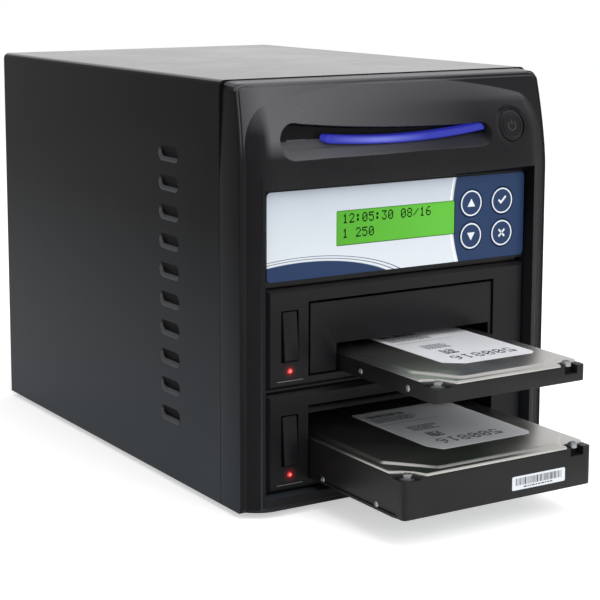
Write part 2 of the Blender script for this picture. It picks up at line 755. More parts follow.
def feet():
    for i, (x, y) in enumerate(foot_places(), 1):
        top = FOOT_HEIGHT - GAP
        pin_top = FOOT_HEIGHT + FLOOR
        profile = [
            (0, pin_top + FOOT_HEAD_HEIGHT),
            (FOOT_HEAD_RADIUS, pin_top + FOOT_HEAD_HEIGHT),
            (FOOT_HEAD_RADIUS, pin_top),
            (FOOT_PIN_RADIUS, pin_top),
            (FOOT_PIN_RADIUS, top),
            (FOOT_RADIUS - FOOT_EDGE, top),
            (FOOT_RADIUS, top - FOOT_EDGE),
            (FOOT_RADIUS - FOOT_EDGE, 0),
            (0, 0),
        ]
        turned(f"foot_{i}", profile, (x, y, -FOOT_HEIGHT), UP, RUBBER, 16)


def cover_screws():
    for i, (x, z) in enumerate(screw_places(), 1):
        profile = [
            (0, SCREW_HEAD_HEIGHT),
            (SCREW_HEAD_RADIUS - SCREW_HEAD_EDGE, SCREW_HEAD_HEIGHT),
            (SCREW_HEAD_RADIUS, SCREW_HEAD_HEIGHT - SCREW_HEAD_EDGE),
            (SCREW_HEAD_RADIUS, 0),
            (SCREW_RADIUS, 0),
            (SCREW_RADIUS, -SCREW_LENGTH),
            (0, -SCREW_LENGTH),
        ]
        turned(f"cover_screw_{i}", profile, (x, REAR + GAP, z), BACK, BARE_STEEL, 12)


def supply_window():
    """The hole of the rear panel over the end of the power supply: left, bottom, right, top."""
    return (
        SUPPLY_LEFT + SUPPLY_FRAME,
        SUPPLY_BOTTOM + SUPPLY_FRAME,
        SUPPLY_LEFT + SUPPLY_WIDTH - SUPPLY_FRAME,
        SUPPLY_BOTTOM + SUPPLY_HEIGHT - SUPPLY_FRAME,
    )


def rear_panel():
    outlines = [
        roof(SHEET + GAP, COVER_CORNER),
        rectangle(*supply_window()),
        arc(0, FAN_Z, FAN_BORE, 0, 345, 23),
    ]
    middle = (SUPPLY_LEFT + SUPPLY_WIDTH + INNER_HALF) / 2
    for i in range(VENT_COUNT):
        outlines.append(obround(middle, VENT_BOTTOM + i * VENT_PITCH, VENT_LENGTH, VENT_HEIGHT, 2))
    for x, z in screw_places():
        outlines.append(arc(x, z, SCREW_RADIUS + GAP, 0, 315, 7))
    prism("rear_panel", outlines, "y", PANEL_FRONT, PANEL_BACK, PAINTED)


def front_frame():
    outlines = [
        roof(SHEET + GAP, COVER_CORNER),
        rectangle(
            -FRAME_APERTURE_HALF_WIDTH, BAY_BOTTOM, FRAME_APERTURE_HALF_WIDTH, FRAME_APERTURE_TOP
        ),
    ]
    prism("front_frame", outlines, "y", SEAM, FRAME_BACK, BARE_STEEL)


def bezel_front(x, z):
    """How far back the moulded front lies: a crowned panel on a rim that leans back at the top."""
    lean = max(0.0, (z - BEZEL_LEAN_START) / (BEZEL_HEIGHT - BEZEL_LEAN_START))
    rim = BEZEL_LEAN * lean**2
    arch = BEZEL_ARCH_TOP - BEZEL_ARCH_DROP * (x / HALF) ** 2
    across = max(0.0, (abs(x) - (HALF - BEZEL_CHEEK)) / BEZEL_FALL)
    upward = max(0.0, (z - BEZEL_BROW) / (arch - BEZEL_BROW))
    crown = BEZEL_CREST * max(0.0, 1 - across**2 - upward**2)
    edge = min(HALF - abs(x), z, BEZEL_HEIGHT - BEZEL_TOP_DROP - z)
    short = max(0.0, BEZEL_EDGE - edge)
    rounding = BEZEL_EDGE - math.sqrt(max(0.0, BEZEL_EDGE**2 - short**2))
    return rim - crown + rounding


def bezel_block():
    """The moulding before it is hollowed: a grid bent to the front, drawn back to a flat rear."""
    front_height = BEZEL_HEIGHT - BEZEL_TOP_DROP
    shape = bmesh.new()
    bmesh.ops.create_grid(shape, x_segments=BEZEL_COLUMNS, y_segments=BEZEL_ROWS, size=1)
    for vert in shape.verts:
        x = HALF * math.sin(vert.co.x * math.pi / 2)
        z = front_height * (1 + math.sin(vert.co.y * math.pi / 2)) / 2
        vert.co = (x, bezel_front(x, z), z)
    drawn = bmesh.ops.extrude_face_region(shape, geom=shape.faces[:])["geom"]
    for vert in [part for part in drawn if isinstance(part, bmesh.types.BMVert)]:
        vert.co = (vert.co.x, BEZEL_BACK, vert.co.z * BEZEL_HEIGHT / front_height)
    rear = [face for face in shape.faces if all(v.co.y == BEZEL_BACK for v in face.verts)]
    shape.normal_update()
    bmesh.ops.dissolve_faces(shape, faces=rear)
    return add("front_bezel", mesh_from("front_bezel", shape), MOULDED, (0, 0, 0))


def tapered_slot(left, left_z, left_radius, right, right_z, right_radius):
    """A long slot with round ends of unlike size, whose upper edge sags."""
    left_end = arc(left, left_z, left_radius, 270, 90, SCOOP_STEPS)
    right_end = arc(right, right_z, right_radius, 90, -90, SCOOP_STEPS)
    start, end = left_end[-1], right_end[0]
    upper = []
    for i in range(1, SCOOP_STEPS):
        share = i / SCOOP_STEPS
        sag = SCOOP_SAG * 4 * share * (1 - share)
        x = start[0] + (end[0] - start[0]) * share
        upper.append((x, start[1] + (end[1] - start[1]) * share - sag))
    return left_end + upper + right_end


def scoop():
    """The hollow above the display: its mouth narrows to a flat back wall."""
    mouth = tapered_slot(
        SCOOP_LEFT, SCOOP_LEFT_Z, SCOOP_LEFT_RADIUS, SCOOP_RIGHT, SCOOP_RIGHT_Z, SCOOP_RIGHT_RADIUS
    )
    bottom = tapered_slot(
        SCOOP_LEFT + SCOOP_BACK_INSET,
        SCOOP_BACK_Z,
        SCOOP_BACK_RADIUS,
        SCOOP_RIGHT + SCOOP_BACK_INSET,
        SCOOP_BACK_Z,
        SCOOP_BACK_RADIUS,
    )
    level = [(x, max(z, SCOOP_BACK_Z - SCOOP_BACK_RADIUS)) for x, z in bottom]
    shape = bmesh.new()
    rings = []
    for outline, y in ((mouth, SCOOP_MOUTH - OVERRUN), (mouth, SCOOP_MOUTH), (level, SCOOP_BACK)):
        verts = [shape.verts.new((x, y, z)) for x, z in outline]
        ring = [shape.edges.new((a, b)) for a, b in zip(verts, verts[1:] + verts[:1])]
        rings.append((verts, ring))
    for (_, near), (_, far) in zip(rings, rings[1:]):
        bmesh.ops.bridge_loops(shape, edges=near + far)
    shape.faces.new(rings[0][0])
    shape.faces.new(rings[-1][0])
    return add("scoop", mesh_from("scoop", shape), None, (0, 0, 0))


def light_outline(grow):
    """The light bar from the front: a shallow smile with square ends."""
    reach = LIGHT_HALF_LENGTH + grow
    shares = [2 * i / LIGHT_STEPS - 1 for i in range(LIGHT_STEPS + 1)]
    half = LIGHT_HEIGHT / 2 + grow
    lower = [(reach * s, LIGHT_Z + LIGHT_RISE * s**2 - half) for s in shares]
    upper = [(reach * s, LIGHT_Z + LIGHT_RISE * s**2 + half) for s in reversed(shares)]
    return lower + upper


def front_bezel():
    bezel = bezel_block()
    hollow = box(
        "bezel_hollow",
        (BEZEL_WALL - HALF, BEZEL_FRONT_WALL, BEZEL_WALL),
        (HALF - BEZEL_WALL, BEZEL_BACK + OVERRUN, BEZEL_HEIGHT - BEZEL_TOP_DROP - BEZEL_WALL),
    )
    pocket = box(
        "bay_pocket",
        (-BAY_HALF_WIDTH, BAY_LIP_BACK, BAY_BOTTOM),
        (BAY_HALF_WIDTH, BEZEL_FRONT_WALL + OVERRUN / 2, BAY_TOP),
    )
    reach = 2 * BAY_FLARE_DEPTH
    mouth = box(
        "bay_mouth",
        (-BAY_HALF_WIDTH, BAY_LIP_BACK - reach, BAY_LIP_BOTTOM),
        (BAY_HALF_WIDTH, BAY_LIP_BACK + GAP, BAY_LIP_TOP),
        flare=BAY_FLARE * reach / BAY_FLARE_DEPTH,
    )
    cut(bezel, hollow, pocket, mouth, scoop())
    slot_end = BEZEL_FRONT_WALL + OVERRUN / 2
    cut(bezel, prism("light_slot", [light_outline(GAP)], "y", SCOOP_BACK - GAP, slot_end))
    button = (BUTTON_X, -OVERRUN, BUTTON_Z)
    pocket_start = (BUTTON_X, 0, BUTTON_Z)
    cut(bezel, rod("button_hole", button, "y", 2 * OVERRUN, BUTTON_HOLE, sides=24))
    cut(bezel, rod("button_pocket", pocket_start, "y", OVERRUN, BUTTON_POCKET_RADIUS, sides=24))


def light():
    prism("light_bar", [light_outline(0)], "y", LIGHT_FRONT, BEZEL_FRONT_WALL, LIGHT_BLUE)
    front = BEZEL_FRONT_WALL + GAP
    low = (-LIGHT_HALF_LENGTH, front, LIGHT_Z - LIGHT_BOARD_HEIGHT / 2)
    high = (LIGHT_HALF_LENGTH, front + LIGHT_BOARD, LIGHT_Z + LIGHT_BOARD_HEIGHT / 2)
    box("light_board", low, high, BOARD_GREEN)


def coil(start, end, middle_x, middle_z):
    """The points of a coil spring along Y."""
    count = SPRING_TURNS * SPRING_POINTS
    points = []
    for i in range(count + 1):
        angle = 2 * math.pi * i / SPRING_POINTS
        y = start + (end - start) * i / count
        x = middle_x + SPRING_RADIUS * math.cos(angle)
        points.append((x, y, middle_z + SPRING_RADIUS * math.sin(angle)))
    return points


def power_button():
    switch_front = BEZEL_BACK - BUTTON_SWITCH_DEPTH
    flange_front = GAP
    flange_back = flange_front + BUTTON_FLANGE
    profile = [
        (0, -BUTTON_FRONT),
        (BUTTON_RADIUS - BUTTON_EDGE, -BUTTON_FRONT),
        (BUTTON_RADIUS, -BUTTON_FRONT - BUTTON_EDGE),
        (BUTTON_RADIUS, -flange_front),
        (BUTTON_FLANGE_RADIUS, -flange_front),
        (BUTTON_FLANGE_RADIUS, -flange_back),
        (BUTTON_STEM_RADIUS, -flange_back),
        (BUTTON_STEM_RADIUS, -switch_front - BUTTON_STEM_ENTRY),
        (0, -switch_front - BUTTON_STEM_ENTRY),
    ]
    turned("power_button", profile, (BUTTON_X, 0, BUTTON_Z), -BACK, MOULDED, 24)
    start = flange_back + GAP + SPRING_WIRE_RADIUS
    end = switch_front - GAP - SPRING_WIRE_RADIUS
    points = coil(start, end, BUTTON_X, BUTTON_Z)
    pivot = (BUTTON_X, end, BUTTON_Z)
    tube("button_spring", points, SPRING_WIRE_RADIUS, BARE_STEEL, 1, pivot=pivot)
    pitch = (end - start) / SPRING_TURNS
    print("least gap between the spring's turns, mm:", round(1000 * (pitch - 2 * SPRING_WIRE_RADIUS), 2))
    half = BUTTON_SWITCH_SIZE / 2
    low = (BUTTON_X - half, switch_front, BUTTON_Z - half)
    high = (BUTTON_X + half, BEZEL_BACK, BUTTON_Z + half)
    switch = box("button_switch", low, high, MOULDED)
    bore_start = (BUTTON_X, switch_front - OVERRUN, BUTTON_Z)
    bore_length = OVERRUN + BUTTON_SWITCH_BORE
    cut(switch, rod("switch_bore", bore_start, "y", bore_length, BUTTON_STEM_RADIUS + GAP))


def key_places():
    names = ("key_up", "key_enter", "key_down", "key_back")
    places = [(x, z) for z in (KEY_HIGH, KEY_LOW) for x in (KEY_LEFT, KEY_RIGHT)]
    return list(zip(names, places))


def display_unit():
    side = RACK_HALF_WIDTH
    back = FASCIA_FRONT + FASCIA_DEPTH
    wall_back = FASCIA_FRONT + FASCIA_WALL
    fascia = box("lcd_fascia", (-side, FASCIA_FRONT, FASCIA_BOTTOM), (side, back, FASCIA_TOP), MOULDED)
    inner = side - FASCIA_SIDE_WALL
    hollow_low = (-inner, wall_back, FASCIA_BOTTOM + FASCIA_SIDE_WALL)
    hollow_high = (inner, back + OVERRUN, FASCIA_TOP - FASCIA_SIDE_WALL)
    window_low = (DISPLAY_LEFT, FASCIA_FRONT - OVERRUN, DISPLAY_BOTTOM)
    window_high = (DISPLAY_RIGHT, wall_back + OVERRUN / 2, DISPLAY_TOP)
    cut(fascia, box("fascia_hollow", hollow_low, hollow_high))
    cut(fascia, box("fascia_window", window_low, window_high))
    for name, (x, z) in key_places():
        start = (x, FASCIA_FRONT - OVERRUN / 2, z)
        cut(fascia, rod(name + "_hole", start, "y", OVERRUN, KEY_HOLE, sides=24))
    film = [
        rounded_rectangle(
            -OVERLAY_HALF_WIDTH, OVERLAY_BOTTOM, OVERLAY_HALF_WIDTH, OVERLAY_TOP, OVERLAY_CORNER
        ),
        rectangle(DISPLAY_LEFT, DISPLAY_BOTTOM, DISPLAY_RIGHT, DISPLAY_TOP),
    ]
    film += [arc(x, z, KEY_HOLE, 0, 345, 23) for _, (x, z) in key_places()]
    prism("lcd_overlay", film, "y", 0, OVERLAY_THICKNESS, SILVER_FILM)

    board_front = back - PANEL_BOARD
    glass_low = (DISPLAY_LEFT + GAP, DISPLAY_FRONT, DISPLAY_BOTTOM + GAP)
    glass_high = (DISPLAY_RIGHT - GAP, wall_back + 2 * GAP, DISPLAY_TOP - GAP)
    module_low = (DISPLAY_LEFT - DISPLAY_MARGIN, wall_back + GAP, DISPLAY_BOTTOM - DISPLAY_MARGIN_HIGH)
    module_high = (DISPLAY_RIGHT + DISPLAY_MARGIN, board_front - GAP, DISPLAY_TOP + DISPLAY_MARGIN_HIGH)
    module = box("lcd_module", module_low, module_high, DISPLAY_GREEN)
    join(module, box("lcd_glass", glass_low, glass_high))

    edge = inner - GAP
    board_low = (-edge, board_front, FASCIA_BOTTOM + FASCIA_SIDE_WALL + GAP)
    board_high = (edge, back, FASCIA_TOP - FASCIA_SIDE_WALL - GAP)
    board = box("panel_board", board_low, board_high, BOARD_GREEN)
    key_back = wall_back + GAP + KEY_FLANGE
    switch_front = key_back + KEY_TRAVEL + GAP
    half = KEY_SWITCH / 2
    for name, (x, z) in key_places():
        low = (x - half, switch_front, z - half)
        high = (x + half, board_front + GAP, z + half)
        join(board, box(name + "_switch", low, high))
        profile = [
            (0, -KEY_FRONT),
            (KEY_RADIUS - KEY_EDGE, -KEY_FRONT),
            (KEY_RADIUS, -KEY_FRONT - KEY_EDGE),
            (KEY_RADIUS, -wall_back - GAP),
            (KEY_FLANGE_RADIUS, -wall_back - GAP),
            (KEY_FLANGE_RADIUS, -key_back),
            (0, -key_back),
        ]
        turned(name, profile, (x, 0, z), -BACK, KEY_BLUE, 24)


def drive_sizes(number):
    """Left side, width, length, height and front of a drive, and the floor that it lies on."""
    floor = rack_bottom(number) + DOOR_SILL + GAP
    if number == 1:
        return DRIVE_1_LEFT, DRIVE_1_WIDTH, DRIVE_1_LENGTH, DRIVE_1_HEIGHT, DRIVE_1_FRONT, floor
    return DRIVE_2_LEFT, DRIVE_2_WIDTH, DRIVE_2_LENGTH, DRIVE_2_HEIGHT, DRIVE_2_FRONT, floor


def rack_bottom(number):
    return RACK_BOTTOM - (number - 1) * RACK_PITCH


def rack_frame(number):
    low_z = rack_bottom(number)
    sill = low_z + DOOR_SILL
    head = sill + DOOR_HEIGHT
    side = RACK_HALF_WIDTH
    name = f"rack_{number}_frame"
    frame = box(name, (-side, 0, low_z), (side, RACK_DEPTH, low_z + RACK_HEIGHT), MOULDED)
    soften(frame, RACK_BEVEL, 1)
    door_low = (DOOR_LEFT, -OVERRUN, sill)
    door_high = (DOOR_RIGHT, RACK_DEPTH + OVERRUN, head)
    slot_low = (LEVER_SLOT_LEFT, -OVERRUN, low_z + LEVER_SLOT_BOTTOM)
    slot_high = (LEVER_SLOT_RIGHT, LEVER_SLOT_DEPTH, low_z + LEVER_SLOT_TOP)
    cut(frame, box("rack_door", door_low, door_high), box("lever_slot", slot_low, slot_high))
    flap_pin = FLAP_PIN_LENGTH + GAP
    flap_start = (DOOR_LEFT - flap_pin, FLAP_FRONT + FLAP_THICKNESS, head - FLAP_HINGE_DROP)
    flap_length = DOOR_RIGHT - DOOR_LEFT + 2 * flap_pin
    cut(frame, rod("flap_pin_hole", flap_start, "x", flap_length, FLAP_PIN_HOLE, sides=12))
    lever_pin = LEVER_PIN_LENGTH + GAP
    lever_z = low_z + LEVER_SLOT_TOP - LEVER_PIN_DROP
    lever_start = (LEVER_SLOT_LEFT - lever_pin, LEVER_PIN_Y, lever_z)
    lever_length = LEVER_SLOT_RIGHT - LEVER_SLOT_LEFT + 2 * lever_pin
    cut(frame, rod("lever_pin_hole", lever_start, "x", lever_length, LEVER_PIN_HOLE, sides=12))
    lamp_start = (LAMP_X, -OVERRUN, low_z + LAMP_RISE)
    cut(frame, rod("lamp_hole", lamp_start, "y", RACK_DEPTH + 2 * OVERRUN, LAMP_HOLE, sides=12))
    lamp = [
        (0, LAMP_PROUD),
        (LAMP_RADIUS / 2, LAMP_PROUD),
        (LAMP_RADIUS, 0),
        (LAMP_RADIUS, -LAMP_LENGTH),
        (0, -LAMP_LENGTH),
    ]
    turned(f"rack_{number}_lamp", lamp, (LAMP_X, 0, low_z + LAMP_RISE), -BACK, LAMP_RED, 12)


def flap_rest(number):
    """How far a flap is swung in at rest: the lower one lies on its drive, the upper one is shut."""
    if number == 1:
        return 0.0
    height, floor = drive_sizes(number)[3], drive_sizes(number)[5]
    length = DOOR_HEIGHT - FLAP_HINGE_DROP - FLAP_CLEARANCE
    hinge_z = rack_bottom(number) + DOOR_SILL + DOOR_HEIGHT - FLAP_HINGE_DROP
    drop = hinge_z - (floor + height + GAP)
    reach = math.hypot(FLAP_THICKNESS, length)
    return math.atan2(FLAP_THICKNESS, length) + math.acos(min(1.0, drop / reach))


def flap(number):
    sill = rack_bottom(number) + DOOR_SILL
    head = sill + DOOR_HEIGHT
    left = DOOR_LEFT + FLAP_CLEARANCE
    right = DOOR_RIGHT - FLAP_CLEARANCE
    back = FLAP_FRONT + FLAP_THICKNESS
    hinge = (0, back, head - FLAP_HINGE_DROP)
    low = (left, FLAP_FRONT, sill + FLAP_CLEARANCE)
    high = (right, back, head - FLAP_TOP_CLEARANCE)
    panel = box(f"flap_{number}", low, high, MOULDED, pivot=hinge)
    guides = []
    barrel_start = (left, back, hinge[2])
    guides.append(rod("flap_barrel", barrel_start, "x", right - left, FLAP_BARREL_RADIUS, sides=12))
    pin_reach = FLAP_PIN_LENGTH - FLAP_CLEARANCE
    pin_start = (DOOR_LEFT - pin_reach, back, hinge[2])
    pin_length = DOOR_RIGHT - DOOR_LEFT + 2 * pin_reach
    guides.append(rod("flap_pin", pin_start, "x", pin_length, FLAP_PIN_RADIUS, sides=12))
    join(panel, *guides)
    if number == 1:
        drive_left, width, _, height, _, floor = drive_sizes(number)
        notch_low = (drive_left - NOTCH_CLEARANCE, -OVERRUN, sill - OVERRUN)
        notch_right = drive_left + width + NOTCH_CLEARANCE
        notch_high = (notch_right, OVERRUN, floor + height + NOTCH_HEADROOM)
        cut(panel, box("flap_notch", notch_low, notch_high))
    turn_at_rest(panel, guides, flap_rest(number), hinge)


def turn_at_rest(obj, guides, angle, centre):
    """Turns a piece and the guides joined to it about an X line through the centre."""
    about = at(*centre)
    turn = Matrix.Translation(about) @ Matrix.Rotation(angle, 4, "X") @ Matrix.Translation(-about)
    for piece in (obj, *guides):
        piece.data.transform(Matrix.Translation(piece.location))
        piece.data.transform(turn)
        piece.data.transform(Matrix.Translation(-about))
        piece.location = about


def lever(number):
    low_z = rack_bottom(number)
    left = LEVER_SLOT_LEFT + LEVER_CLEARANCE
    right = LEVER_SLOT_RIGHT - LEVER_CLEARANCE
    bottom = low_z + LEVER_SLOT_BOTTOM + LEVER_CLEARANCE
    top = low_z + LEVER_SLOT_TOP - LEVER_CLEARANCE - GAP
    hinge = (0, LEVER_PIN_Y, low_z + LEVER_SLOT_TOP - LEVER_PIN_DROP)
    outline = [
        (LEVER_TAIL, bottom),
        (LEVER_BACK, top - LEVER_BACK),
        (LEVER_BACK, top),
        (LEVER_FLUSH + LEVER_TIP, top),
        (LEVER_FLUSH, top - LEVER_TIP),
        (-LEVER_PROUD, bottom + LEVER_TIP),
        (LEVER_TIP - LEVER_PROUD, bottom),
    ]
    handle = prism(f"lever_{number}", [outline], "x", left, right, MOULDED, pivot=hinge)
    start = (LEVER_SLOT_LEFT - LEVER_PIN_LENGTH, LEVER_PIN_Y, hinge[2])
    length = LEVER_SLOT_RIGHT - LEVER_SLOT_LEFT + 2 * LEVER_PIN_LENGTH
    join(handle, rod("lever_pin", start, "x", length, LEVER_PIN_RADIUS, sides=12))


def cage(number):
    sill = rack_bottom(number) + DOOR_SILL
    head = sill + DOOR_HEIGHT
    name = f"rack_{number}"
    low = (DOOR_LEFT - CAGE_WALL, CAGE_FRONT, sill - CAGE_WALL)
    high = (DOOR_RIGHT + CAGE_WALL, CAGE_BACK, head + CAGE_WALL)
    sleeve = box(name + "_cage", low, high, BARE_STEEL)
    wing = BAY_PLATE - GAP
    wing_low = (-wing, CAGE_WING_FRONT, sill - CAGE_WALL)
    join(sleeve, box("cage_wing", wing_low, (wing, CAGE_WING_BACK, sill)))
    inside_low = (DOOR_LEFT, CAGE_FRONT - OVERRUN, sill)
    cut(sleeve, box("cage_inside", inside_low, (DOOR_RIGHT, CAGE_BACK + OVERRUN, head)))

    board_front = CAGE_BACK + GAP
    board_low = (DOOR_LEFT + BACKPLANE_MARGIN, board_front, sill - CAGE_WALL)
    board_high = (DOOR_RIGHT - BACKPLANE_MARGIN, board_front + BACKPLANE, head + CAGE_WALL)
    box(name + "_backplane", board_low, board_high, BOARD_GREEN)
    socket_low = (
        DOOR_MIDDLE - SOCKET_WIDTH / 2,
        board_front - GAP - SOCKET_DEPTH,
        sill + SOCKET_RISE,
    )
    socket_high = (
        DOOR_MIDDLE + SOCKET_WIDTH / 2,
        board_front - GAP,
        sill + SOCKET_RISE + SOCKET_HEIGHT,
    )
    box(name + "_socket", socket_low, socket_high, MOULDED)


def drive(number):
    left, width, length, height, front, floor = drive_sizes(number)
    right, back, top = left + width, front + length, floor + height
    name = f"drive_{number}"
    carrier = bpy.data.objects.new(name + "_slide", None)
    carrier.location = at((left + right) / 2, front, floor)
    PARTS.objects.link(carrier)

    rim = top - PLATEAU - LID_THICKNESS
    outline = rounded_rectangle(left, front, right, back, DRIVE_CORNER, 2)
    base = prism(name + "_base", [outline], "z", floor, rim - GAP, CASTING)
    inner = DRIVE_BOARD_MARGIN
    recess_low = (left + inner - GAP, front + inner - GAP, floor - OVERRUN)
    recess_high = (right - inner + GAP, back - DRIVE_BOARD_BACK + GAP, floor + DRIVE_BOARD_RECESS)
    cut(base, box("board_recess", recess_low, recess_high))
    half = SOCKET_WIDTH / 2 + 2 * GAP
    plug_top = floor - GAP + SOCKET_RISE + SOCKET_HEIGHT + 2 * GAP
    plug_low = (DOOR_MIDDLE - half, back - DRIVE_PLUG_DEPTH, floor - OVERRUN)
    cut(base, box("plug_recess", plug_low, (DOOR_MIDDLE + half, back + OVERRUN, plug_top)))

    board_z = floor + DRIVE_BOARD_RECESS - GAP - DRIVE_BOARD
    board_low = (left + inner, front + inner, board_z)
    board_high = (right - inner, back - DRIVE_BOARD_BACK, board_z + DRIVE_BOARD)
    board = box(name + "_board", board_low, board_high, BOARD_GREEN)

    edge = LID_INSET
    sheet = rounded_rectangle(left + edge, front + edge, right - edge, back - edge, DRIVE_CORNER, 2)
    lid = prism(name + "_lid", [sheet], "z", rim, rim + LID_THICKNESS, ALUMINIUM)
    margin = PLATEAU_MARGIN
    raised = rounded_rectangle(
        left + margin, front + margin, right - margin, back - margin, PLATEAU_CORNER, 3
    )
    join(lid, prism("lid_plateau", [raised], "z", rim + LID_THICKNESS / 2, top))
    for piece in (base, board, lid):
        piece.parent = carrier
        piece.matrix_parent_inverse = Matrix.Translation(-carrier.location)


def bay_plates():
    low_y = FRAME_BACK + GAP
    left_low = (-BAY_PLATE - SHEET, low_y, FLOOR)
    left_high = (-BAY_PLATE, BAY_PLATE_BACK, BAY_PLATE_TOP)
    box("bay_plate_left", left_low, left_high, BARE_STEEL)
    right_low = (BAY_PLATE, low_y, FLOOR)
    right_high = (BAY_PLATE + SHEET, BAY_PLATE_BACK, BAY_PLATE_TOP)
    box("bay_plate_right", right_low, right_high, BARE_STEEL)


def main_board_sizes():
    """Left, front, right, back and underside of the main board."""
    front = SHELF_FRONT + MAIN_BOARD_INSET / 2
    under = SHELF_Z + SHEET + STANDOFF_HEIGHT + GAP
    half = MAIN_BOARD_WIDTH / 2
    return -half, front, half, front + MAIN_BOARD_DEPTH, under


def shelf_and_board():
    side = BAY_PLATE - GAP
    low = (-side, SHELF_FRONT, SHELF_Z)
    shelf = box("board_tray", low, (side, SHELF_BACK, SHELF_Z + SHEET), BARE_STEEL)
    left, front, right, back, under = main_board_sizes()
    for x in (left + MAIN_BOARD_INSET, right - MAIN_BOARD_INSET):
        for y in (front + MAIN_BOARD_INSET, back - MAIN_BOARD_INSET):
            start = (x, y, SHELF_Z + SHEET / 2)
            length = STANDOFF_HEIGHT + SHEET / 2
            join(shelf, rod("standoff", start, "z", length, STANDOFF_RADIUS, sides=10))
    top = under + MAIN_BOARD
    board = box("controller_board", (left, front, under), (right, back, top), BOARD_GREEN)
    middle_y = (front + back) / 2
    chip = CHIP_SIZE / 2
    chip_high = (chip, middle_y + chip, top + CHIP_HEIGHT)
    join(board, box("main_chip", (-chip, middle_y - chip, top - GAP), chip_high))
    half = HEADER_WIDTH / 2
    header_low = (SUPPLY_CABLE_X - half, middle_y - HEADER_DEPTH / 2, top - GAP)
    header_high = (SUPPLY_CABLE_X + half, middle_y + HEADER_DEPTH / 2, top + HEADER_HEIGHT)
    join(board, box("supply_header", header_low, header_high))
    for x in (-DATA_CABLE_X, DATA_CABLE_X):
        data_low = (x - half, back - HEADER_DEPTH, top - GAP)
        join(board, box("data_header", data_low, (x + half, back, top + HEADER_HEIGHT)))


def smooth_route(corners, count):
    """Points along a smooth curve from the first corner to the last, pulled by those between."""
    points = []
    for i in range(count + 1):
        share = i / count
        level = [Vector(corner) for corner in corners]
        while len(level) > 1:
            level = [a.lerp(b, share) for a, b in zip(level, level[1:])]
        points.append(level[0])
    return points


def cables():
    _, _, _, back, under = main_board_sizes()
    header_z = under + MAIN_BOARD + HEADER_HEIGHT / 2
    start_y = CAGE_BACK + 2 * GAP + BACKPLANE
    behind = start_y + DATA_CABLE_REACH
    for number, x in ((1, DATA_CABLE_X), (2, -DATA_CABLE_X)):
        middle = rack_bottom(number) + RACK_HEIGHT / 2
        corners = [
            (x, start_y, middle),
            (x, behind, middle),
            (x, behind + DATA_CABLE_REACH, middle),
            (x, behind + DATA_CABLE_REACH, header_z),
            (x, behind, header_z),
            (x, back + GAP, header_z),
        ]
        route = smooth_route(corners, CABLE_POINTS)
        tube(f"data_cable_{number}", route, DATA_CABLE_RADIUS, CABLE_RED, 1)
    header_top = under + MAIN_BOARD + HEADER_HEIGHT + GAP
    header_y = SHELF_FRONT + MAIN_BOARD_INSET / 2 + MAIN_BOARD_DEPTH / 2
    supply_front = SUPPLY_BACK - SUPPLY_DEPTH
    supply_z = SUPPLY_BOTTOM + SUPPLY_HEIGHT / 2
    corners = [
        (SUPPLY_CABLE_X, supply_front - GAP, supply_z),
        (SUPPLY_CABLE_X, supply_front - SUPPLY_CABLE_REACH, supply_z),
        (SUPPLY_CABLE_X, header_y, header_top + SUPPLY_CABLE_REACH + HEADER_HEIGHT),
        (SUPPLY_CABLE_X, header_y, header_top + HEADER_HEIGHT),
        (SUPPLY_CABLE_X, header_y, header_top),
    ]
    route = smooth_route(corners, CABLE_POINTS)
    tube("supply_cable", route, SUPPLY_CABLE_RADIUS, RUBBER, 1)


